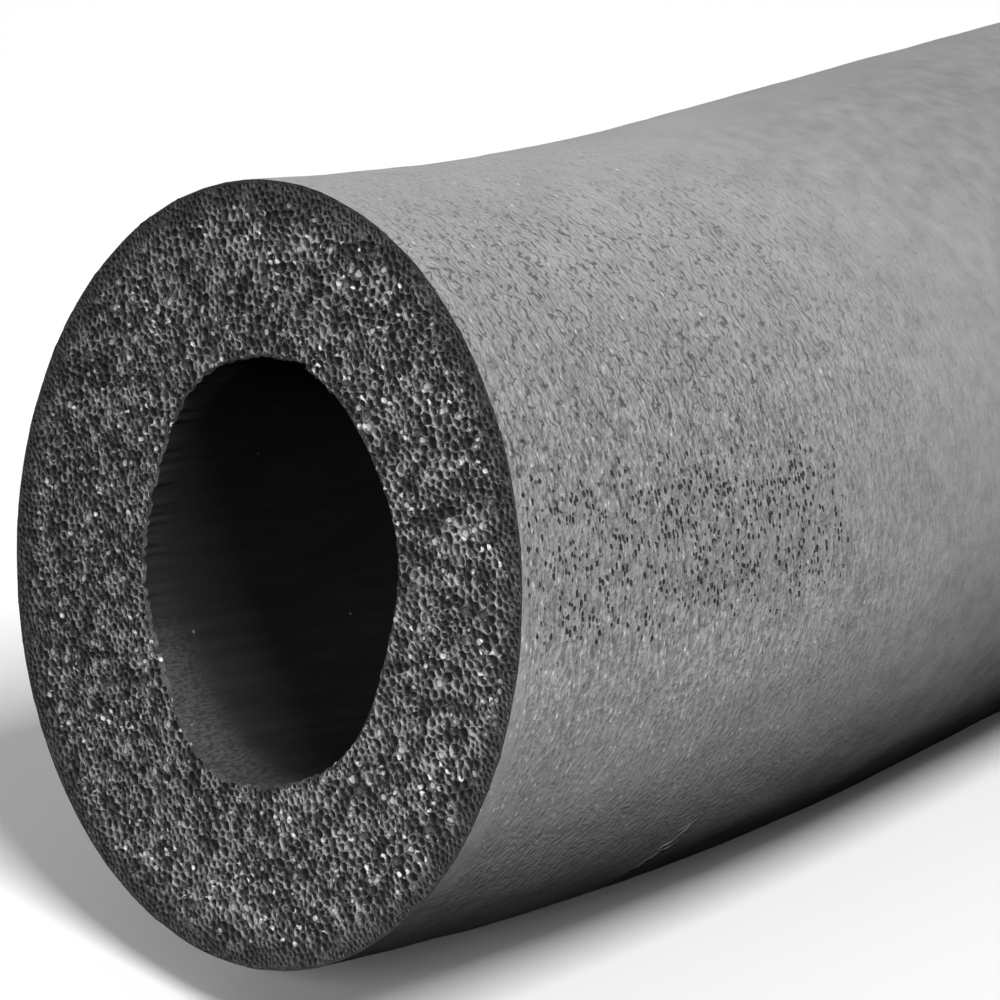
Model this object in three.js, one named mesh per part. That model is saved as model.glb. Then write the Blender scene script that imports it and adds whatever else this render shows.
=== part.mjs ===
// One length of pipe insulation: a tube of soft, dark, closed-cell rubber foam, extruded in one go with its thin
// skin and cut with a knife at both ends. It lies on the floor along +X with a gentle sideways bow. Its near end,
// at -X, has kept some curl from the carton: it rises off the floor and turns a little to +Y.
// Lengths are in millimetres, angles in radians, +Z is up, and the origin is under the middle of the tube.

import * as THREE from 'three';

const degree = Math.PI / 180;

// The stock: the size sold for 28 mm pipe with a 13 mm wall, in 2 m lengths.
const boreDiameter = 28;
const wallThickness = 13;
const tubeLength = 2000;

// The bore came out of the die a little oval and off the tube's centre.
const boreOvality = 1.5; // the bore is this much taller, and this much narrower, than its round size
const boreLean = -13 * degree; // turn of the oval about the tube's axis
const boreToSide = -1.5; // the bore's centre from the tube's centre, along the section's side direction
const boreUp = 0.6; // and along its up direction

// How the soft tube lies.
const bowDepth = 12; // rise of the sideways arc over its chord
const curlLength = 45.5; // the stretch that bends at the near end
const curlAngle = 9.5 * degree; // how far that stretch turns
const curlDirection = 57.5 * degree; // the way the near end points, from +Y towards +Z

// The near cut isn't quite square: its top leans back along the tube. The far cut is square.
const cutLean = 3.9 * degree;
const straightBehindCut = 1.15; // what stays straight between the cut and the curl

// How finely the round section and the bends are divided.
const sectionSides = 64;
const curlSteps = 6;
const bowSteps = 14;

const outerRadius = boreDiameter / 2 + wallThickness;
const curlStart = outerRadius * Math.tan(cutLean) + straightBehindCut;
const curlEnd = curlStart + curlLength;
const bowHalfAngle = (4 * bowDepth) / tubeLength;
const up = new THREE.Vector3(0, 0, 1);

// Direction of the tube at a distance s from its near end: the bow's level heading, with the curl on top of it.
function directionAt(s) {
  const heading = bowHalfAngle * ((2 * s) / tubeLength - 1);
  const along = new THREE.Vector3(Math.cos(heading), Math.sin(heading), 0);
  const across = new THREE.Vector3().crossVectors(up, along);
  const curlTurn = curlAngle * (1 - THREE.MathUtils.clamp((s - curlStart) / curlLength, 0, 1));
  const lift = across.multiplyScalar(Math.cos(curlDirection)).addScaledVector(up, Math.sin(curlDirection));
  return along.multiplyScalar(Math.cos(curlTurn)).addScaledVector(lift, -Math.sin(curlTurn));
}

// Distances from the near end where the section is placed: close together in the curl, wide apart in the bow.
function sectionDistances() {
  const distances = [0];
  for (let i = 0; i <= curlSteps; i++) {
    distances.push(curlStart + (curlLength * i) / curlSteps);
  }
  for (let i = 1; i <= bowSteps; i++) {
    distances.push(curlEnd + ((tubeLength - curlEnd) * i) / bowSteps);
  }
  return distances;
}

// The frame of each section: its centre, the tube's direction, and the section's side and up directions.
function sectionFrames(distances) {
  const centre = new THREE.Vector3();
  return distances.map((s, i) => {
    if (i > 0) {
      const before = distances[i - 1];
      centre.addScaledVector(directionAt((before + s) / 2), s - before);
    }
    const along = directionAt(s);
    const side = new THREE.Vector3().crossVectors(up, along).normalize();
    const rise = new THREE.Vector3().crossVectors(along, side);
    return { centre: centre.clone(), along, side, rise };
  });
}

// The section: a round outside with the oval bore in it.
function tubeSection() {
  const section = new THREE.Shape();
  section.absarc(0, 0, outerRadius, 0, 2 * Math.PI);
  const bore = new THREE.Path();
  const halfWide = (boreDiameter - boreOvality) / 2;
  const halfTall = (boreDiameter + boreOvality) / 2;
  bore.absellipse(boreToSide, boreUp, halfWide, halfTall, 0, 2 * Math.PI, false, boreLean);
  section.holes.push(bore);
  return section;
}

// The tube is extruded straight, one unit of depth for each section, and then each section goes to its own frame.
function tubeGeometry() {
  const frames = sectionFrames(sectionDistances());
  const steps = frames.length - 1;
  const geometry = new THREE.ExtrudeGeometry(tubeSection(), {
    depth: steps,
    steps,
    curveSegments: sectionSides / 2,
    bevelEnabled: false,
  });
  const position = geometry.attributes.position;
  const point = new THREE.Vector3();
  for (let i = 0; i < position.count; i++) {
    const toSide = position.getX(i);
    const rise = position.getY(i);
    const station = Math.round(position.getZ(i));
    const frame = frames[station];
    point.copy(frame.centre).addScaledVector(frame.side, toSide).addScaledVector(frame.rise, rise);
    if (station === 0) {
      point.addScaledVector(frame.along, rise * Math.tan(cutLean));
    }
    position.setXYZ(i, point.x, point.y, point.z);
  }
  geometry.computeBoundingBox();
  const box = geometry.boundingBox;
  geometry.translate(-(box.min.x + box.max.x) / 2, -(box.min.y + box.max.y) / 2, -box.min.z);
  geometry.computeVertexNormals();
  return geometry;
}

const foamRubber = new THREE.MeshStandardMaterial({ color: 0x3a3a3b, roughness: 0.85, metalness: 0 });

const insulationTube = new THREE.Mesh(tubeGeometry(), foamRubber);
insulationTube.name = 'insulation_tube';

const pipeInsulation = new THREE.Group();
pipeInsulation.name = 'pipe_insulation';
pipeInsulation.add(insulationTube);

export default pipeInsulation;
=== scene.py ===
# A 2 m length of pipe insulation for 28 mm pipe, seen close up at its near end. It is one extrusion of dark
# rubber foam: a skinned wall round an open bore, cut off with a knife at both ends, which opens its cells.

import math

import bmesh
import bpy
import numpy as np
from mathutils import Euler, Matrix, Vector, geometry


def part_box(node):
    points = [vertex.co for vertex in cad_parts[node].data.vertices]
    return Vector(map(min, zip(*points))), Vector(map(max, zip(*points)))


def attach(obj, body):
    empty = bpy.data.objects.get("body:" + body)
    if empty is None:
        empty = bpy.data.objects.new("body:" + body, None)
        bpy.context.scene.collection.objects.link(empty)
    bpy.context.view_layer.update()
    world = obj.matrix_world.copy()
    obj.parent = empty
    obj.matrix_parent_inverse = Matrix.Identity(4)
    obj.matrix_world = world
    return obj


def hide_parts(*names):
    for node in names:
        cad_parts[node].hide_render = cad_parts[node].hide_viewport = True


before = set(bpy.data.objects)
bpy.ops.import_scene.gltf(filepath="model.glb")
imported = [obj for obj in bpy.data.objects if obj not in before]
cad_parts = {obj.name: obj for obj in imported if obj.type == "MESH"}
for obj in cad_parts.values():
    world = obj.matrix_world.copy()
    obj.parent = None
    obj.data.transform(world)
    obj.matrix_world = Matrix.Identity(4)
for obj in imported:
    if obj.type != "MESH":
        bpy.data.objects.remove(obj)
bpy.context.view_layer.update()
tube_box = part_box("insulation_tube")


# Tube wall
# The real piece is closed-cell rubber foam extruded in one go, with a thin matt skin outside and in the
# bore. The wall made here runs from just behind the near knife cut to just before the far one.

mm = 0.001
bore_diameter = 28 * mm
wall_thickness = 13 * mm
tube_length = 2000 * mm
outer_radius = bore_diameter / 2 + wall_thickness

# The bore came out of the die a little oval and off the tube's centre.
bore_ovality = 1.5 * mm
bore_half_wide = (bore_diameter - bore_ovality) / 2
bore_half_tall = (bore_diameter + bore_ovality) / 2
bore_lean = math.radians(-13)
bore_to_side = -1.5 * mm
bore_up = 0.6 * mm

# The tube lies in a gentle sideways bow, and its near end has kept some curl from the carton.
bow_depth = 12 * mm
bow_half_angle = 4 * bow_depth / tube_length
cut_lean = math.radians(3.9)
curl_start = outer_radius * math.tan(cut_lean) + 1.15 * mm
curl_length = 45.5 * mm
curl_angle = math.radians(9.5)
curl_direction = math.radians(57.5)
up = Vector((0, 0, 1))
path_step = 2 * mm
ring_points = 65


def direction_at(distance):
    """The tube's direction at a distance from its near end: the bow's level heading, with the curl on top."""
    heading = bow_half_angle * (2 * distance / tube_length - 1)
    along = Vector((math.cos(heading), math.sin(heading), 0))
    across = up.cross(along)
    turn = curl_angle * (1 - min(max((distance - curl_start) / curl_length, 0), 1))
    lift = across * math.cos(curl_direction) + up * math.sin(curl_direction)
    return along * math.cos(turn) - lift * math.sin(turn)


def section_at(distance):
    """The section's centre, measured from the near end's, and its along, side and rise directions."""
    steps = max(1, math.ceil(distance / path_step))
    step = distance / steps
    centre = Vector((0, 0, 0))
    for number in range(steps):
        centre += direction_at((number + 0.5) * step) * step
    along = direction_at(distance)
    side = up.cross(along).normalized()
    return centre, along, side, along.cross(side)


def ring_at(distance, lean=0.0):
    """Points round the tube's outside at this distance, on a plane that leans back along the tube."""
    centre, along, side, rise = section_at(distance)
    rise = rise + math.tan(lean) * along
    turns = np.linspace(0, 2 * math.pi, ring_points)
    return [centre + outer_radius * (math.cos(turn) * side + math.sin(turn) * rise) for turn in turns]


# The near end's centre goes where it brings the tube's whole outline into the frame's box.
outline = ring_at(0, cut_lean)
for part in np.linspace(0.025, 1, 40):
    outline += ring_at(part * tube_length)
outline = np.array(outline)
near_centre = Vector((
    (tube_box[0][0] + tube_box[1][0] - outline[:, 0].min() - outline[:, 0].max()) / 2,
    (tube_box[0][1] + tube_box[1][1] - outline[:, 1].min() - outline[:, 1].max()) / 2,
    tube_box[0][2] - outline[:, 2].min(),
))

# The sections stand close together over the stretch that is seen close up, and wider apart beyond it.
far_cut_depth = 3 * mm
overlap = 0.1 * mm
close_stretch = 165 * mm
close_step = 1.2 * mm
wide_step = 15 * mm
close_distances = np.arange(curl_start, close_stretch, close_step)
wall_start = curl_start - overlap
wall_end = tube_length - far_cut_depth + overlap
wide_distances = np.linspace(close_stretch, wall_end, math.ceil((wall_end - close_stretch) / wide_step))


def make_path(name, distances):
    """A curve through the tube's centre at these distances, whose sections stay upright.

    Its points are turned half over, or an upright section's own axes would point down and to the far side.
    """
    curve = bpy.data.curves.new(name, "CURVE")
    curve.dimensions = "3D"
    curve.twist_mode = "Z_UP"
    spline = curve.splines.new("POLY")
    spline.points.add(len(distances) - 1)
    for point, distance in zip(spline.points, distances):
        point.co = (*(near_centre + section_at(distance)[0]), 1)
        point.tilt = math.pi
    path = bpy.data.objects.new(name, curve)
    bpy.context.collection.objects.link(path)
    return path


def add_node(tree, kind, inputs=None, **settings):
    """A node with its settings made and its inputs given values or joined to other nodes' outputs."""
    made = tree.nodes.new(kind)
    for name, value in settings.items():
        setattr(made, name, value)
    for socket, value in (inputs or {}).items():
        if isinstance(value, bpy.types.NodeSocket):
            tree.links.new(value, made.inputs[socket])
        else:
            made.inputs[socket].default_value = value
    return made


def math_node(tree, operation, first, second=0.0):
    """A step of arithmetic on one or two numbers, as one output."""
    return add_node(tree, "ShaderNodeMath", {0: first, 1: second}, operation=operation).outputs[0]


def product(tree, first, *others):
    """Numbers multiplied together."""
    for other in others:
        first = math_node(tree, "MULTIPLY", first, other)
    return first


def total(tree, first, *others):
    """Numbers added together."""
    for other in others:
        first = math_node(tree, "ADD", first, other)
    return first


def less(tree, first, second):
    """One number less another."""
    return math_node(tree, "SUBTRACT", first, second)


def scaled(tree, vector, factor):
    """A vector times a number."""
    node = add_node(tree, "ShaderNodeVectorMath", {0: vector, "Scale": factor}, operation="SCALE")
    return node.outputs[0]


def spread(tree, value, low, high, to_low=0.0, to_high=1.0, smooth=True):
    """A value read off between two limits, eased at both ends where it is smooth."""
    settings = {"interpolation_type": "SMOOTHSTEP" if smooth else "LINEAR"}
    inputs = {"Value": value, "From Min": low, "From Max": high, "To Min": to_low, "To Max": to_high}
    return add_node(tree, "ShaderNodeMapRange", inputs, **settings).outputs[0]


def between(tree, value, rising, falling):
    """1 where a value lies between its rising and its falling range, eased down over each of them."""
    return product(tree, spread(tree, value, *rising), spread(tree, value, *falling))


def length_of(tree, vector):
    """The length of a vector."""
    return add_node(tree, "ShaderNodeVectorMath", {0: vector}, operation="LENGTH").outputs["Value"]


def new_geometry_tree(name, sockets):
    """An empty tree of geometry nodes with these named inputs, and its group input's outputs."""
    tree = bpy.data.node_groups.new(name, "GeometryNodeTree")
    tree.interface.new_socket("Geometry", in_out="INPUT", socket_type="NodeSocketGeometry")
    tree.interface.new_socket("Geometry", in_out="OUTPUT", socket_type="NodeSocketGeometry")
    for label, (kind, default) in sockets.items():
        socket = tree.interface.new_socket(label, in_out="INPUT", socket_type="NodeSocket" + kind)
        if default is not None:
            socket.default_value = default
    return tree, tree.nodes.new("NodeGroupInput").outputs


def stored(tree, mesh, name, value, domain="POINT", kind="FLOAT", **chosen):
    """The mesh with a value kept on it under this name."""
    inputs = {"Geometry": mesh, "Name": name, "Value": value, **chosen}
    return add_node(tree, "GeometryNodeStoreNamedAttribute", inputs, data_type=kind, domain=domain).outputs[0]


def kept(tree, name, kind="FLOAT"):
    """The value that a mesh keeps under this name."""
    return add_node(tree, "GeometryNodeInputNamedAttribute", {"Name": name}, data_type=kind).outputs[0]


def with_material(tree, mesh, material):
    """The mesh in this material."""
    return add_node(tree, "GeometryNodeSetMaterial", {"Geometry": mesh, "Material": material}).outputs[0]


def made_real(tree, mesh):
    """The mesh with its instances made real."""
    return add_node(tree, "GeometryNodeRealizeInstances", {0: mesh}).outputs[0]


def grown(name, source, tree, values):
    """The plain mesh that the tree makes of the source object, which is then removed."""
    modifier = source.modifiers.new("grow", "NODES")
    modifier.node_group = tree
    for item in tree.interface.items_tree:
        if item.in_out == "INPUT" and item.name in values:
            modifier[item.identifier] = values[item.name]
    evaluated = source.evaluated_get(bpy.context.evaluated_depsgraph_get())
    mesh = bpy.data.meshes.new_from_object(evaluated)
    mesh.name = name
    bpy.data.objects.remove(source)
    return mesh


def new_material(name):
    """A material, its tree and its shader."""
    material = bpy.data.materials.new(name)
    material.use_nodes = True
    return material, material.node_tree, material.node_tree.nodes["Principled BSDF"]


def finish_material(tree, shader, colour, relief, strength, roughness):
    """Joins the colour, the relief in millimetres and the roughness to the shader."""
    bump = add_node(tree, "ShaderNodeBump", {"Strength": strength, "Distance": 1 * mm, "Height": relief})
    tree.links.new(colour, shader.inputs["Base Color"])
    tree.links.new(bump.outputs[0], shader.inputs["Normal"])
    if isinstance(roughness, bpy.types.NodeSocket):
        tree.links.new(roughness, shader.inputs["Roughness"])
    else:
        shader.inputs["Roughness"].default_value = roughness


def mesh_value(tree, name):
    """What the mesh keeps under this name, for a material."""
    return add_node(tree, "ShaderNodeAttribute", attribute_name=name).outputs["Fac"]


def place_on_tube(tree):
    """A point's place on the straight tube, in millimetres: its distance from the near end, side and rise."""
    straight = add_node(tree, "ShaderNodeAttribute", attribute_name="straight").outputs["Vector"]
    return scaled(tree, straight, 1 / mm)


def distance_and_turn(tree, place):
    """The distance from the near end in millimetres, and the turn round the tube in degrees from its side up.

    It runs from -90 at the bottom through 0 on the far side and 90 at the top to 270 at the bottom again.
    """
    parts = add_node(tree, "ShaderNodeSeparateXYZ", {0: place}).outputs
    turn = math_node(tree, "ARCTAN2", product(tree, parts[1], -1.0), parts[2])
    return parts[0], total(tree, product(tree, turn, 180 / math.pi), 90.0)


def cosine_from(tree, turn, start):
    """The cosine of a turn in degrees measured from this start."""
    return math_node(tree, "COSINE", product(tree, total(tree, turn, -start), math.pi / 180))


def noise(tree, vector, size, detail=2.0, roughness=0.5, distortion=0.0):
    """Soft noise from 0 to 1 whose lumps are about this many millimetres across."""
    inputs = {
        "Vector": vector,
        "Scale": 1 / size,
        "Detail": detail,
        "Roughness": roughness,
        "Distortion": distortion,
    }
    return add_node(tree, "ShaderNodeTexNoise", inputs).outputs["Fac"]


def centred(tree, value):
    """A value from 0 to 1 moved down to lie about 0."""
    return less(tree, value, 0.5)


def stretched(tree, vector, scale, shift=(0, 0, 0)):
    """The coordinates stretched by a factor each way and moved, so that patterns don't repeat each other."""
    inputs = {"Vector": vector, "Scale": scale, "Location": shift}
    return add_node(tree, "ShaderNodeMapping", inputs).outputs[0]


def spots(tree, vector, size, shift=(0, 0, 0)):
    """Distance from the middles of scattered spots, in spot spacings, and a random number for each spot."""
    moved = stretched(tree, vector, (1, 1, 1), shift)
    cells = add_node(tree, "ShaderNodeTexVoronoi", {"Vector": moved, "Scale": 1 / size})
    number = add_node(tree, "ShaderNodeSeparateColor", {0: cells.outputs["Color"]}).outputs[0]
    return cells.outputs["Distance"], number


def drawn_creases(tree, vector, gap, bend, bend_size, phase):
    """Wavy creases that run round the tube this many millimetres apart: 0 in one's bottom, 1 between two."""
    scale = 2 * math.pi / (20 * gap)
    inputs = {
        "Vector": vector,
        "Scale": scale,
        "Distortion": bend,
        "Detail": 2.0,
        "Detail Scale": 1 / (bend_size * scale),
        "Phase Offset": phase,
    }
    return add_node(tree, "ShaderNodeTexWave", inputs, wave_type="BANDS", bands_direction="X").outputs["Fac"]


def mixed(tree, factor, first, second):
    """A colour between two others."""
    return add_node(tree, "ShaderNodeMix", {0: factor, 6: first, 7: second}, data_type="RGBA").outputs[2]


def grey(value):
    """A plain grey of this lightness."""
    return (value, value, value, 1)


def grey_socket(tree, value):
    """A grey whose lightness comes from another node."""
    return add_node(tree, "ShaderNodeCombineColor", {0: value, 1: value, 2: value}).outputs[0]


def dimmed(tree, tone, mask, left):
    """A tone brought down to this part of itself where the mask is 1."""
    return product(tree, tone, spread(tree, mask, 0.0, 1.0, 1.0, left, smooth=False))


# The outer skin is matt and grey. Near the end it is creased on top like worn leather, drawn into fine
# short creases lower down, with a band of pinholes low on the side and pale flecks under it. Further along
# it is softly mottled. Turns are in degrees and sizes in millimetres, as in all the finishes.
skin, tree, shader = new_material("foam_skin")
place = place_on_tube(tree)
distance, turn = distance_and_turn(tree, place)
near_part = spread(tree, distance, 54, 19, 0.1, 1.0)
from_cut = spread(tree, distance, 0.3, 1.6, 0.45, 1.0)
strength = product(tree, near_part, from_cut)

# Fine creases on the side.
fine_creases = noise(tree, stretched(tree, place, (2.3, 1, 1)), 0.62, 2.0, 0.6, 0.35)
long_creases = noise(tree, stretched(tree, place, (3.0, 1, 1), (9, 4, 2)), 1.3, 1.0, 0.6)
creases = total(tree, product(tree, fine_creases, 0.6), product(tree, long_creases, 0.4))
creases = spread(tree, creases, 0.38, 0.62, -0.5, 0.5, smooth=False)
lower_part = between(tree, turn, (112, 150), (202, 174, 0.12, 1.0))
creases = product(tree, creases, product(tree, strength, lower_part))

# Dark drawn creases on top, coarse ones and fine ones, with the small plates of skin between them. The dark
# of their lines is painted shade in the creases.
top_part = product(tree, spread(tree, turn, 168, 142, 0.3, 1.0), spread(tree, turn, 92, 118, 0.35, 1.0))
top_strength = product(tree, strength, top_part)
coarse = drawn_creases(tree, place, 0.9, 9.5, 0.95, 0.0)
fine = drawn_creases(tree, place, 0.48, 8.5, 0.6, 3.0)
coarse_there = spread(tree, noise(tree, place, 0.8, 1.0), 0.44, 0.58)
fine_there = noise(tree, stretched(tree, place, (1, 1, 1), (4, 4, 4)), 2.6, 2.0)
fine_there = spread(tree, fine_there, 0.35, 0.6, 0.3, 1.0)
fine_broken = spread(tree, noise(tree, place, 0.5, 1.0), 0.4, 0.6, 0.3, 1.0)
coarse_line = product(tree, spread(tree, coarse, 0.26, 0.0), coarse_there, top_strength)
fine_line = product(tree, spread(tree, fine, 0.4, 0.0), fine_there, fine_broken, top_strength)
grains = noise(tree, stretched(tree, place, (1.3, 1, 1), (8, 1, 3)), 0.42, 0.0)
grains = spread(tree, grains, 0.3, 0.7, smooth=False)
plates = total(tree, product(tree, coarse, 0.4), product(tree, fine, 0.3), product(tree, grains, 0.3))
plates = product(tree, centred(tree, plates), top_strength)

# Pinholes low on the side, in clusters, with smaller and fainter specks between them. Both are painted dark,
# as painted shade in the holes.
hole_gap, hole_number = spots(tree, stretched(tree, place, (1.9, 1, 1)), 0.6)
hole_waver = centred(tree, noise(tree, place, 0.22, 0.0))
hole_gap = total(tree, hole_gap, product(tree, hole_waver, 0.4))
hole_clusters = spread(tree, noise(tree, place, 2.4, 0.0), 0.35, 0.55, 0.45, 1.1)
hole_chance = product(tree, between(tree, turn, (146, 160), (181, 167)), hole_clusters)
hole_chance = product(tree, hole_chance, between(tree, distance, (34, 25), (0.4, 1.6, 0.0, 0.85)))
chosen = spread(tree, less(tree, hole_chance, hole_number), -0.05, 0.22)
hole_size = less(tree, 0.46, product(tree, hole_number, 0.16))
holes = product(tree, chosen, spread(tree, math_node(tree, "DIVIDE", hole_gap, hole_size), 1.0, 0.7))
speck_gap, speck_number = spots(tree, stretched(tree, place, (2.2, 1, 1)), 0.42, (3, 5, 1))
specks = math_node(tree, "LESS_THAN", speck_number, product(tree, hole_chance, 0.5))
specks = product(tree, specks, spread(tree, speck_gap, 0.42, 0.22))

# Pale flecks under the pinholes.
fleck_gap, fleck_number = spots(tree, stretched(tree, place, (2.0, 1, 1)), 0.74, (7, 3, 5))
fleck_chance = between(tree, turn, (120, 174, 0.1, 1.0), (210, 194))
fleck_chance = product(tree, fleck_chance, spread(tree, distance, 34, 12, 0.0, 0.45))
flecks = math_node(tree, "LESS_THAN", fleck_number, fleck_chance)
flecks = product(tree, flecks, spread(tree, fleck_gap, 0.36, 0.14))

# The underside is painted dark, as painted shade near the floor, starting at a small lifted flake of skin.
flake_waver = product(tree, centred(tree, noise(tree, place, 1.0, 0.0)), 2.2)
past_flake = total(tree, distance, flake_waver, product(tree, less(tree, turn, 218), 0.12))
flake = between(tree, past_flake, (20.7, 21.4), (21.9, 21.4))
flake = product(tree, flake, between(tree, turn, (213, 217), (229, 223)))
low_edge = total(tree, turn, spread(tree, distance, 22, 60, 0.0, 8.0))
underside_shade = product(tree, spread(tree, low_edge, 215, 226), spread(tree, turn, 268, 250))
underside_shade = product(tree, underside_shade, spread(tree, past_flake, 21.4, 21.9))

# The skin's tone: its middle grey, what is added to it, and what brings it down.
mottle = noise(tree, stretched(tree, place, (1.2, 1, 1)), 1.8, 2.0, 0.5)
clouds = noise(tree, place, 7, 1.0)
pale_part = product(tree, between(tree, turn, (168, 182), (212, 196)), near_part)
shaded_part = product(tree, between(tree, turn, (112, 138), (182, 165)), near_part)
low_far_shade = product(tree, spread(tree, turn, 165, 205), spread(tree, distance, 12, 34))
tone = total(
    tree,
    0.298,
    product(tree, centred(tree, mottle), spread(tree, distance, 20, 70, 0.1, 0.16)),
    product(tree, centred(tree, clouds), 0.08),
    product(tree, creases, 0.19),
    product(tree, plates, 0.1),
    product(tree, spread(tree, distance, 1.1, 0.5), 0.03),
    product(tree, flecks, 0.24),
    product(tree, pale_part, 0.018),
)
# Painted shade: the tone is brought down on the side near the end, further from the near end, low on the side
# further along and on the underside.
tone = dimmed(tree, tone, shaded_part, 0.8)
tone = product(tree, tone, spread(tree, distance, 26, 70, 1.0, 0.79))
tone = dimmed(tree, tone, low_far_shade, 0.82)
tone = dimmed(tree, tone, underside_shade, 0.5)
tone = total(tree, tone, product(tree, flake, 0.12))
# Painted shade in the creases' lines, the pinholes and the specks.
for mask, left in ((coarse_line, 0.4), (fine_line, 0.68), (holes, 0.14), (specks, 0.5)):
    tone = dimmed(tree, tone, mask, left)
relief = total(tree, product(tree, creases, 0.09), product(tree, plates, 0.12), product(tree, mottle, 0.05))
relief = total(tree, relief, product(tree, holes, -0.1), product(tree, flake, 0.25))
skin_roughness = spread(tree, mottle, 0.3, 0.7, 0.6, 0.75)
finish_material(tree, shader, grey_socket(tree, tone), relief, 1.0, skin_roughness)
shader.inputs["Specular IOR Level"].default_value = 0.3

# The skin of the bore is nearly black, with faint streaks that the die's core drew along it. It is painted
# paler deeper in, as painted light, and near black on the far side, as painted shade. At the knife's cut it
# is painted paler, most of all low down, as painted light coming in at the mouth, broken up by ragged fluff.
bore_skin, tree, shader = new_material("bore_skin")
place = place_on_tube(tree)
distance, turn = distance_and_turn(tree, place)
streaks = noise(tree, stretched(tree, place, (0.15, 1, 1)), 1.1, 3.0)
fluff = noise(tree, stretched(tree, place, (1, 2, 2)), 0.45, 3.0, 0.65)
low_part = spread(tree, cosine_from(tree, turn, -80), 0.5, 1.0)
fluffy_mouth_light = product(tree, spread(tree, distance, 4.5, 0.3), spread(tree, low_part, 0.0, 1.0, 0.05, 1.0))
fluffy_mouth_light = product(tree, fluffy_mouth_light, spread(tree, fluff, 0.36, 0.64, 0.2, 1.0))
dust_gap, dust_number = spots(tree, place, 1.6)
dust = product(tree, math_node(tree, "LESS_THAN", dust_number, 0.06), spread(tree, dust_gap, 0.1, 0.04), 0.5)
bore_far_shade = spread(tree, cosine_from(tree, turn, 10), 0.3, 1.0, 0.0, 0.45)
colour = mixed(tree, spread(tree, streaks, 0.35, 0.7), grey(0.014), grey(0.021))
# Painted light: paler deeper in the bore.
colour = mixed(tree, spread(tree, distance, 6, 60), colour, grey(0.032))
# Painted shade: near black on the bore's far side.
colour = mixed(tree, bore_far_shade, colour, grey(0.004))
# Painted light at the mouth, low down, broken up by fluff.
colour = mixed(tree, fluffy_mouth_light, colour, grey(0.07))
colour = mixed(tree, dust, colour, grey(0.3))
relief = total(tree, product(tree, streaks, 0.04), product(tree, fluff, 0.06))
finish_material(tree, shader, colour, relief, 0.8, 0.8)
shader.inputs["Specular IOR Level"].default_value = 0.2

# The wall's tree sweeps the round outside and the oval bore along the path, and gives the skin its low lumps.
tree, given = new_geometry_tree("sweep_tube_wall", {
    "Outer Radius": ("Float", outer_radius),
    "Bore Size": ("Vector", (bore_half_wide, bore_half_tall, 1)),
    "Bore Centre": ("Vector", (bore_to_side, bore_up, 0)),
    "Bore Lean": ("Float", bore_lean),
    "Section Sides": ("Int", 160),
    "Lump Height": ("Float", 0.22 * mm),
    "Lump Size": ("Float", 5 * mm),
    "Smooth End": ("Float", 8 * mm),
    "Start Distance": ("Float", wall_start),
    "End Distance": ("Float", wall_end),
    "Skin": ("Material", None),
    "Bore Skin": ("Material", None),
})
path_length = add_node(tree, "GeometryNodeSplineParameter").outputs["Length"]
to_start = total(tree, path_length, given["Start Distance"])
measured = stored(tree, given["Geometry"], "from_near_end", to_start)
from_end = kept(tree, "from_near_end")
position = add_node(tree, "GeometryNodeInputPosition").outputs[0]


def swept(outline):
    """The outline swept along the path, with each point's place on the straight tube kept on it."""
    marked = stored(tree, outline, "section", position, kind="FLOAT_VECTOR")
    curves = {"Curve": measured, "Profile Curve": marked}
    surface = add_node(tree, "GeometryNodeCurveToMesh", curves).outputs[0]
    across = add_node(tree, "ShaderNodeSeparateXYZ", {0: kept(tree, "section", "FLOAT_VECTOR")}).outputs
    straight = add_node(tree, "ShaderNodeCombineXYZ", {0: from_end, 1: across[0], 2: across[1]}).outputs[0]
    return stored(tree, surface, "straight", straight, kind="FLOAT_VECTOR")


def circle(radius):
    """A round outline of this radius."""
    inputs = {"Resolution": given["Section Sides"], "Radius": radius}
    return add_node(tree, "GeometryNodeCurvePrimitiveCircle", inputs).outputs["Curve"]


lumps = add_node(tree, "ShaderNodeTexNoise", {
    "Vector": position,
    "Scale": math_node(tree, "DIVIDE", 1.0, given["Lump Size"]),
    "Detail": 1.0,
}).outputs["Fac"]
fade = product(
    tree,
    spread(tree, from_end, given["Start Distance"], given["Smooth End"]),
    spread(tree, less(tree, given["End Distance"], from_end), 0.0, given["Smooth End"]),
)
lump = product(tree, centred(tree, lumps), given["Lump Height"], fade)
outward = add_node(tree, "GeometryNodeInputNormal").outputs["Normal"]
outside = add_node(tree, "GeometryNodeSetPosition", {
    "Geometry": swept(circle(given["Outer Radius"])),
    "Offset": scaled(tree, outward, lump),
}).outputs[0]
outside = with_material(tree, outside, given["Skin"])
oval = add_node(tree, "GeometryNodeTransform", {
    "Geometry": circle(1.0),
    "Scale": given["Bore Size"],
}).outputs[0]
oval = add_node(tree, "GeometryNodeTransform", {
    "Geometry": oval,
    "Rotation": add_node(tree, "ShaderNodeCombineXYZ", {"Z": given["Bore Lean"]}).outputs[0],
    "Translation": given["Bore Centre"],
}).outputs[0]
bore = add_node(tree, "GeometryNodeFlipFaces", {"Mesh": swept(oval)}).outputs[0]
bore = with_material(tree, bore, given["Bore Skin"])
both = add_node(tree, "GeometryNodeJoinGeometry")
tree.links.new(outside, both.inputs[0])
tree.links.new(bore, both.inputs[0])
both = made_real(tree, both.outputs[0])
smooth = add_node(tree, "GeometryNodeSetShadeSmooth", {"Geometry": both}).outputs[0]
add_node(tree, "NodeGroupOutput", {0: smooth})

path = make_path("tube_path", [wall_start, *close_distances, *wide_distances])
wall_mesh = grown("tube_wall", path, tree, {"Skin": skin, "Bore Skin": bore_skin})


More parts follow.
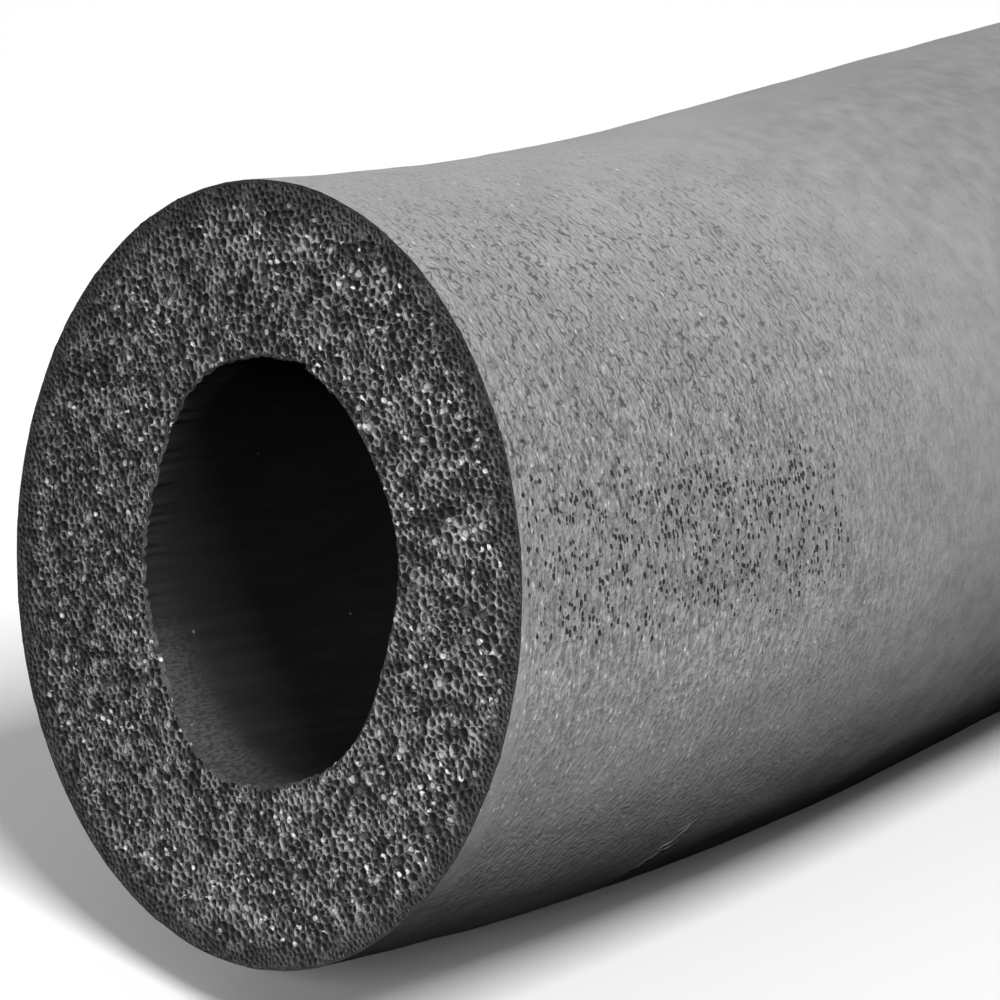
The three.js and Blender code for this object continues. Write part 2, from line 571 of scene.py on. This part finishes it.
def close_shell(mesh, patch):
    """Makes the mesh one closed shell with its faces outward, once patch has filled what is open."""
    shell = bmesh.new()
    shell.from_mesh(mesh)
    patch(shell)
    bmesh.ops.recalc_face_normals(shell, faces=shell.faces)
    for edge in shell.edges:
        if len({face.smooth for face in edge.link_faces}) == 2:
            edge.smooth = False
    shell.to_mesh(mesh)
    shell.free()


def join_ends(shell):
    """Faces between the outer and the bore outline at each end of the wall."""
    for end in (-1, 1):
        rims = [edge for edge in shell.edges if edge.is_boundary and edge.verts[0].co.x * end > 0]
        for face in bmesh.ops.bridge_loops(shell, edges=rims)["faces"]:
            face.smooth = False


def add_piece(name, mesh):
    """An object for the mesh, which stands for the tube's solid and rides with it."""
    piece = bpy.data.objects.new(name, mesh)
    bpy.context.collection.objects.link(piece)
    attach(piece, "root")
    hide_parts("insulation_tube")
    return piece


close_shell(wall_mesh, join_ends)
add_piece("tube_wall", wall_mesh)


# Near cut
# The knife went through the foam a few degrees off square and opened its cells, so the cut end is all small
# pits with thin bright rims, finer and darker towards the skin. The bore's edge is a little ragged.

# The outlines of the cut: a waver on the round outside, and a larger one on the bore, where the soft edge
# tore. Each of the bore's wavers has a count round the bore, a depth and a starting turn in degrees.
outer_waver = 0.05 * mm
bore_wavers = ((3, 0.20 * mm, -135), (5, 0.13 * mm, 22.6), (6, 0.19 * mm, 111))
bore_centre = Vector((bore_to_side, bore_up))

# A small nick at the top of the bore, where the blade caught, and the rounding of the bore's edge, which is a
# little larger low down.
nick_turn = math.radians(94.5)
nick_width = math.radians(12)
nick_depth = 0.5 * mm
edge_rounding = 0.15 * mm
low_rounding = 0.1 * mm
low_turn = math.radians(-55)


def outer_outline(turn, waver=1.0):
    """A point of the cut's outer edge, across and up from the tube's centre."""
    radius = outer_radius - waver * outer_waver * (1 + math.sin(19 * turn) * math.cos(7 * turn + 1)) / 2
    return Vector((radius * math.cos(turn), radius * math.sin(turn)))


def bore_outline(turn, waver=1.0):
    """A point of the bore's edge: the leaning oval, with its wavers and its nick."""
    oval_turn = turn - bore_lean
    radius = 1 / math.hypot(math.cos(oval_turn) / bore_half_wide, math.sin(oval_turn) / bore_half_tall)
    wavers = [depth * math.cos(count * turn + math.radians(start)) for count, depth, start in bore_wavers]
    radius += waver * sum(wavers)
    before_nick = (nick_turn - turn) / nick_width
    if 0 < before_nick < 1:
        radius += waver * nick_depth * (1 - before_nick) ** 2
    return bore_centre + Vector((radius * math.cos(turn), radius * math.sin(turn)))


def from_bore_edge(point):
    """The turn of a point of the cut about the bore's centre, and how far it is from the bore's edge."""
    off_centre = point - bore_centre
    turn = math.atan2(off_centre.y, off_centre.x)
    return turn, off_centre.length - (bore_outline(turn) - bore_centre).length


# The cells: the pitch inside the wall, at the skin and along the edges of the cut, and how much wider they
# are than tall.
cell_pitch = 0.42 * mm
skin_pitch = 0.26 * mm
cell_stretch = 1.4
skin_band = 1.9 * mm
edge_pitch = 0.32 * mm
bore_edge_pitch = 0.34 * mm
edge_room = skin_pitch * 0.4
edge_gap = skin_pitch * 0.5

# How uneven they are: how far the edges stray, the smallest cell and the range above it, and larger and
# smaller patches across the cut.
bore_edge_stray = 0.07 * mm
outer_edge_stray = 0.09 * mm
least_cell = 0.70
cell_range = 0.54
patch_strength = 0.14
patch_across = 1.3 * mm
patch_up = 1.7 * mm
cell_tries = 110000


def scatter_cells(seed):
    """Middles for the foam's cells all over the cut, further apart inside than near the skin, and uneven."""
    random = np.random.default_rng(seed)
    outer_count = round(2 * math.pi * outer_radius / edge_pitch)
    bore_count = round(math.pi * bore_diameter / bore_edge_pitch)
    points = []
    for turn in np.linspace(0, 2 * math.pi, outer_count, endpoint=False):
        edge_point = outer_outline(turn)
        points.append(edge_point - edge_point.normalized() * random.uniform(0, outer_edge_stray))
    for turn in np.linspace(0, 2 * math.pi, bore_count, endpoint=False):
        edge_point = bore_outline(turn)
        outward = (edge_point - bore_centre).normalized()
        points.append(edge_point + outward * random.normal(0, bore_edge_stray))
    room = [edge_room] * len(points)
    square = cell_pitch * 2.1
    grid = {}
    for number, point in enumerate(points):
        grid.setdefault((math.floor(point.x / square), math.floor(point.y / square)), []).append(number)
    for x, y, chance in random.uniform((-1, -1, 0), (1, 1, 1), (cell_tries, 3)):
        point = Vector((x, y)) * outer_radius
        from_skin = outer_radius - point.length
        if min(from_skin, from_bore_edge(point)[1]) < edge_gap:
            continue
        ease = min(1.0, from_skin / skin_band) ** 1.5
        patch = 1 + patch_strength * math.sin(point.x / patch_across + 2 * math.sin(point.y / patch_up))
        pitch = (skin_pitch + (cell_pitch * patch - skin_pitch) * ease) * (least_cell + cell_range * chance)
        column, row = math.floor(point.x / square), math.floor(point.y / square)
        near = [
            other
            for step_x in (-1, 0, 1)
            for step_y in (-1, 0, 1)
            for other in grid.get((column + step_x, row + step_y), ())
        ]
        gaps = [(point - points[other], room[other]) for other in near]
        if all(math.hypot(gap.x / cell_stretch, gap.y) > (pitch + space) / 2 for gap, space in gaps):
            grid.setdefault((column, row), []).append(len(points))
            points.append(point)
            room.append(pitch)
    return points, outer_count, bore_count


def triangles_between(points, outer_loop, bore_loop):
    """Triangles on flat points, as three numbers each, that fill the space between the two loops."""
    edges = [(loop[spot - 1], loop[spot]) for loop in (outer_loop, bore_loop) for spot in range(len(loop))]
    _, _, triangles, origins, _, _ = geometry.delaunay_2d_cdt(
        [point / mm for point in points], edges, [], 0, 1e-6)
    in_bore = set(bore_loop)
    kept_triangles = []
    for triangle in triangles:
        corners = [origins[corner][0] for corner in triangle]
        if not in_bore.issuperset(corners):
            kept_triangles.append(corners)
    return kept_triangles


def make_cut_sheet(name, seed):
    """A flat sheet of triangles between the cells' middles, inside the cut's two edges, as an object."""
    points, outer_count, bore_count = scatter_cells(seed)
    edge_count = outer_count + bore_count
    triangles = triangles_between(points, list(range(outer_count)), list(range(outer_count, edge_count)))
    mesh = bpy.data.meshes.new(name)
    mesh.from_pydata([(*point, 0) for point in points], [], triangles)
    closed = mesh.attributes.new("closed", "FLOAT", "POINT")
    closed.data.foreach_set("value", [float(number < edge_count) for number in range(len(points))])
    sheet = bpy.data.objects.new(name, mesh)
    bpy.context.collection.objects.link(sheet)
    return sheet


# The foam inside is painted dark in the pits, as painted shade where little light comes back, and paler on
# the thin rims of the cells. It is darker in the dense foam at the skin. The closed cells along the edges and
# the foam towards the far side are painted darker, as painted shade. Films of rubber are left across a few
# cells; some are painted near white as a painted highlight, and small spots are painted near white as painted
# glints.
film_share = 0.08
film_highlight_share = 0.045
tone_shuffle = 37.7
cut_foam, tree, shader = new_material("cut_foam")
place = place_on_tube(tree)
pit = mesh_value(tree, "pit")
cell_number = mesh_value(tree, "cell_number")
fibres = noise(tree, place, 0.2, 2.0, 0.6)
own_tone = math_node(tree, "FRACT", product(tree, cell_number, tone_shuffle))
light_rims = total(
    tree,
    product(tree, noise(tree, place, 1.1, 2.0, 0.6), 0.6),
    product(tree, fibres, 0.4),
    product(tree, centred(tree, noise(tree, place, 2.6, 1.0)), 0.22),
    product(tree, centred(tree, own_tone), 0.16),
)
across = add_node(tree, "ShaderNodeVectorMath", {0: place, 1: (0, 1, 1)}, operation="MULTIPLY").outputs[0]
dense_start = (outer_radius - 3.2 * mm) / mm
dense_full = (outer_radius - 0.5 * mm) / mm
dense = spread(tree, length_of(tree, across), dense_start, dense_full)
out_of_dense = spread(tree, dense, 1.0, 0.3)
rim_colour = mixed(tree, spread(tree, light_rims, 0.40, 0.68), grey(0.04), grey(0.47))
rim_colour = mixed(tree, product(tree, dense, 0.85), rim_colour, grey(0.055))
# Painted shade on the closed cells along the cut's edges.
rim_colour = mixed(tree, product(tree, mesh_value(tree, "closed"), 0.8), rim_colour, grey(0.05))
pit_colour = mixed(tree, spread(tree, light_rims, 0.42, 0.68), grey(0.014), grey(0.05))
colour = mixed(tree, spread(tree, pit, 0.0, 0.5), rim_colour, pit_colour)
pit_floor = spread(tree, pit, 0.35, 0.9)
dim_film = product(tree, math_node(tree, "GREATER_THAN", cell_number, 1 - film_share), pit_floor)
colour = mixed(tree, product(tree, dim_film, 0.8), colour, grey(0.2))
# Painted highlight: a few films are painted near white.
film_highlight = math_node(tree, "GREATER_THAN", cell_number, 1 - film_highlight_share)
film_highlight = product(tree, film_highlight, pit_floor, out_of_dense)
colour = mixed(tree, film_highlight, colour, grey(0.9))
# Painted glints: small spots painted near white.
glint_gap, glint_number = spots(tree, stretched(tree, place, (1, 0.72, 1)), 0.5)
glint = product(tree, math_node(tree, "LESS_THAN", glint_number, 0.12), spread(tree, glint_gap, 0.43, 0.26))
glint = product(tree, glint, out_of_dense)
colour = mixed(tree, glint, colour, grey(0.95))
# Painted shade: the cut is darker towards the far side.
to_side = add_node(tree, "ShaderNodeSeparateXYZ", {0: place}).outputs[1]
side_shade = grey_socket(tree, spread(tree, to_side, 25, -25, 0.57, 1.06, smooth=False))
tones = {0: 1.0, 6: colour, 7: side_shade}
colour = add_node(tree, "ShaderNodeMix", tones, data_type="RGBA", blend_type="MULTIPLY").outputs[2]
foam_roughness = less(tree, 0.75, product(tree, glint, 0.45))
finish_material(tree, shader, colour, product(tree, fibres, 0.1), 0.8, foam_roughness)

# The tree turns each middle of the sheet into a cell of its own outline, with a flat rim and a pit sunk in
# it. The pits are shallow where a film closes them, and towards the skin.
tree, given = new_geometry_tree("open_cut_cells", {
    "Outer Radius": ("Float", outer_radius),
    "Dense Band": ("Float", 1.5 * mm),
    "Rim Width": ("Float", 0.062 * mm),
    "Pit Depth": ("Float", 1.15),
    "Pit Floor": ("Float", 0.56),
    "Film Share": ("Float", film_share),
    "Ragged": ("Float", 0.045 * mm),
    "Seed": ("Int", 1),
    "Material": ("Material", None),
})


def sunk_in(mesh, selection, depth):
    """Each selected face on its own, pushed this far along its normal, as the node that does it."""
    inputs = {"Mesh": mesh, "Selection": selection, "Offset Scale": depth, "Individual": True}
    return add_node(tree, "GeometryNodeExtrudeMesh", inputs, mode="FACES")


def drawn_in(mesh, selection, factor):
    """The mesh with each selected face scaled about its middle."""
    inputs = {"Geometry": mesh, "Selection": selection, "Scale": factor}
    return add_node(tree, "GeometryNodeScaleElements", inputs, domain="FACE").outputs[0]


def compared(first, second, operation):
    """Whether one number is more, or less, than another."""
    inputs = {0: first, 1: second}
    return add_node(tree, "FunctionNodeCompare", inputs, data_type="FLOAT", operation=operation).outputs[0]


sheet = {"Mesh": given["Geometry"], "Keep Boundaries": True}
cells = add_node(tree, "GeometryNodeDualMesh", sheet).outputs[0]
number_inputs = {2: 0.0, 3: 1.0, 8: given["Seed"]}
number = add_node(tree, "FunctionNodeRandomValue", number_inputs, data_type="FLOAT").outputs[1]
cells = stored(tree, cells, "cell_number", number, domain="FACE")
cell_number = kept(tree, "cell_number")
area = add_node(tree, "GeometryNodeInputMeshFaceArea").outputs[0]
cell_width = math_node(tree, "SQRT", product(tree, area, 4 / math.pi))
uneven = total(tree, product(tree, cell_number, 0.7), 0.7)

framed = sunk_in(cells, compared(kept(tree, "closed"), 0.5, "LESS_THAN"), 0.0)
rims = math_node(tree, "DIVIDE", product(tree, given["Rim Width"], 2.0), cell_width)
opening = math_node(tree, "MAXIMUM", less(tree, 1.0, product(tree, rims, uneven)), 0.25)
rimmed = drawn_in(framed.outputs["Mesh"], framed.outputs["Top"], opening)

film = math_node(tree, "GREATER_THAN", cell_number, less(tree, 1.0, given["Film Share"]))
from_middle = length_of(tree, add_node(tree, "GeometryNodeInputPosition").outputs[0])
dense_end = less(tree, given["Outer Radius"], given["Dense Band"])
depth = product(
    tree,
    product(tree, cell_width, product(tree, given["Pit Depth"], uneven)),
    less(tree, 1.0, product(tree, film, 0.8)),
    spread(tree, from_middle, dense_end, given["Outer Radius"], 1.0, 0.25),
    -1.0,
)
sunk = sunk_in(rimmed, framed.outputs["Top"], depth)
pitted = drawn_in(sunk.outputs["Mesh"], sunk.outputs["Top"], given["Pit Floor"])
pitted = stored(tree, pitted, "pit", 1.0, Selection=sunk.outputs["Top"])

# Every corner is pulled a little astray, but not those along the sheet's two edges.
faces_beside = add_node(tree, "GeometryNodeInputMeshEdgeNeighbors").outputs[0]
one_face = {2: faces_beside, 3: 1}
at_edge = add_node(tree, "FunctionNodeCompare", one_face, data_type="INT", operation="EQUAL").outputs[0]
inner = add_node(tree, "FunctionNodeBooleanMath", {0: at_edge}, operation="NOT").outputs[0]
ragged = scaled(tree, (1, 1, 1), given["Ragged"])
shift_inputs = {0: scaled(tree, ragged, -1.0), 1: ragged, 8: given["Seed"]}
shift = add_node(tree, "FunctionNodeRandomValue", shift_inputs, data_type="FLOAT_VECTOR").outputs[0]
pitted = add_node(tree, "GeometryNodeSetPosition", {
    "Geometry": pitted,
    "Selection": inner,
    "Offset": shift,
}).outputs[0]
pitted = add_node(tree, "GeometryNodeSetShadeSmooth", {
    "Geometry": pitted,
    "Shade Smooth": compared(kept(tree, "pit"), 0.01, "GREATER_THAN"),
}, domain="FACE").outputs[0]
pitted = with_material(tree, made_real(tree, pitted), given["Material"])
add_node(tree, "NodeGroupOutput", {0: pitted})
cell_tree = tree


# Between the cut and the wall behind it, the sides go back in rows at these parts of the way.
side_rows = (0.15, 0.4, 0.7, 1.0)


def round_bore_edge(mesh):
    """Sinks the foam round the bore's edge, so that the cut rolls over into the bore."""
    for corner in mesh.vertices:
        turn, from_bore = from_bore_edge(corner.co.xy)
        radius = edge_rounding + low_rounding * max(0, math.cos(turn - low_turn)) ** 2
        if from_bore < radius:
            corner.co.z -= radius - math.sqrt(radius ** 2 - (radius - max(from_bore, 0)) ** 2)


def make_cut(name, seed, distance, outward, lean, depth):
    """One cut end: the open cells on the plane of the cut, with skin and bore behind them and a flat back."""
    mesh = grown(name, make_cut_sheet(name + "_sheet", seed), cell_tree, {"Seed": seed, "Material": cut_foam})
    round_bore_edge(mesh)
    for finish in (skin, bore_skin):
        mesh.materials.append(finish)

    def give_sides(shell):
        """Rows of faces behind both edges of the cut, in the skin and the bore's skin, and the flat back."""
        loops = {"outer": [], "bore": []}
        for corner in {corner for edge in shell.edges if edge.is_boundary for corner in edge.verts}:
            off_centre = corner.co.xy - bore_centre
            at_bore = off_centre.length < bore_half_tall + 3 * mm
            across = off_centre if at_bore else corner.co.xy
            loops["bore" if at_bore else "outer"].append((math.atan2(across.y, across.x), corner))
        backs = []
        for finish, side, outline_of in ((1, "outer", outer_outline), (2, "bore", bore_outline)):
            loop = sorted(loops[side], key=lambda pair: pair[0])
            row = [corner for _, corner in loop]
            for part in side_rows:
                waver = (1 - part) ** 2 * (1 + 2 * part)
                deeper = []
                for turn, corner in loop:
                    back = outline_of(turn, 0.0)
                    across = back + waver * (corner.co.xy - back)
                    back_height = back.y * math.tan(lean) - depth
                    height = corner.co.z + part * (back_height - corner.co.z)
                    deeper.append(shell.verts.new((*across, height)))
                for spot, corner in enumerate(row):
                    face = shell.faces.new([row[spot - 1], corner, deeper[spot], deeper[spot - 1]])
                    face.material_index = finish
                    face.smooth = True
                row = deeper
            backs.append(row)
        corners = backs[0] + backs[1]
        outer_loop = list(range(len(backs[0])))
        bore_loop = list(range(len(backs[0]), len(corners)))
        for triangle in triangles_between([corner.co.xy for corner in corners], outer_loop, bore_loop):
            shell.faces.new([corners[number] for number in triangle]).smooth = False

    centre, along, side, rise = section_at(distance)
    close_shell(mesh, give_sides)
    straight = mesh.attributes.new("straight", "FLOAT_VECTOR", "POINT")
    for spot, corner in zip(straight.data, mesh.vertices):
        from_near_end = distance + corner.co.y * math.tan(lean) + outward * corner.co.z
        spot.vector = (from_near_end, corner.co.x, corner.co.y)
    placing = Matrix((side, rise + math.tan(lean) * along, outward * along)).transposed().to_4x4()
    placing.translation = near_centre + centre
    mesh.transform(placing)
    if placing.determinant() < 0:
        mesh.flip_normals()
    return add_piece(name, mesh)


make_cut("near_cut", 11, 0.0, -1, cut_lean, curl_start)


# Far cut
# The other end of the length was cut square, with the same knife, and shows the same open cells.

make_cut("far_cut", 23, tube_length, 1, 0.0, far_cut_depth)


# Studio
# A plain pale floor under soft light that comes from above, in front and behind. The camera stands at the
# photograph's place, close in front of the near end.

floor_colour = 0.86
floor_size = 24
bpy.ops.mesh.primitive_grid_add(x_subdivisions=2, y_subdivisions=2, size=floor_size)
floor = bpy.context.object
floor.name = "floor"
paper, tree, shader = new_material("pale_floor")
place = add_node(tree, "ShaderNodeTexCoord").outputs["Object"]
tone = mixed(tree, noise(tree, place, 0.06, 0.0), grey(floor_colour), grey(floor_colour + 0.02))
tree.links.new(tone, shader.inputs["Base Color"])
shader.inputs["Roughness"].default_value = 0.9
floor.data.materials.append(paper)
# The floor throws no light back up at the tube, whose underside is nearly black.
floor.visible_diffuse = False
floor.visible_glossy = False

# The room's own light is weak, and comes only from above.
world = bpy.data.worlds.new("studio")
world.use_nodes = True
tree = world.node_tree
sky = add_node(tree, "ShaderNodeTexCoord").outputs["Generated"]
height = add_node(tree, "ShaderNodeSeparateXYZ", {0: sky}).outputs[2]
tree.links.new(spread(tree, height, -0.05, 0.5, 0.005, 0.2), tree.nodes["Background"].inputs[1])
tree.nodes["Background"].inputs[0].default_value = (1, 1, 1, 1)
bpy.context.scene.world = world
bpy.context.scene.view_settings.view_transform = "Standard"


def add_soft_light(name, direction, distance, size, power):
    """A square soft light in a direction from the near end, facing it."""
    light = bpy.data.lights.new(name, "AREA")
    light.size = size
    light.energy = power
    lamp = bpy.data.objects.new(name, light)
    lamp.location = near_centre + Vector(direction).normalized() * distance
    lamp.rotation_euler = (-Vector(direction)).to_track_quat("-Z", "Y").to_euler()
    bpy.context.collection.objects.link(lamp)


add_soft_light("key", (-0.12, -0.60, 0.79), 7.8, 2.7, 621)
add_soft_light("front", (-0.8, -0.35, 0.4), 7.2, 2.1, 216)
add_soft_light("back", (0.6, 0.75, 0.3), 7.2, 2.1, 110)

camera_place = (-1.155039, -0.154438, 0.119019)
camera_heading = math.radians(41.284)
camera_pitch = math.radians(-20.178)
camera_roll = math.radians(0.116)
camera = bpy.data.objects.new("camera", bpy.data.cameras.new("camera"))
camera.data.lens = 127.445
camera.data.sensor_width = 36
camera.data.clip_start = 0.01
camera.location = camera_place
aim = Euler((math.pi / 2 + camera_pitch, 0, camera_heading - math.pi / 2)).to_matrix()
camera.rotation_euler = (aim @ Matrix.Rotation(camera_roll, 3, "Z")).to_euler()
bpy.context.collection.objects.link(camera)
bpy.context.scene.camera = camera
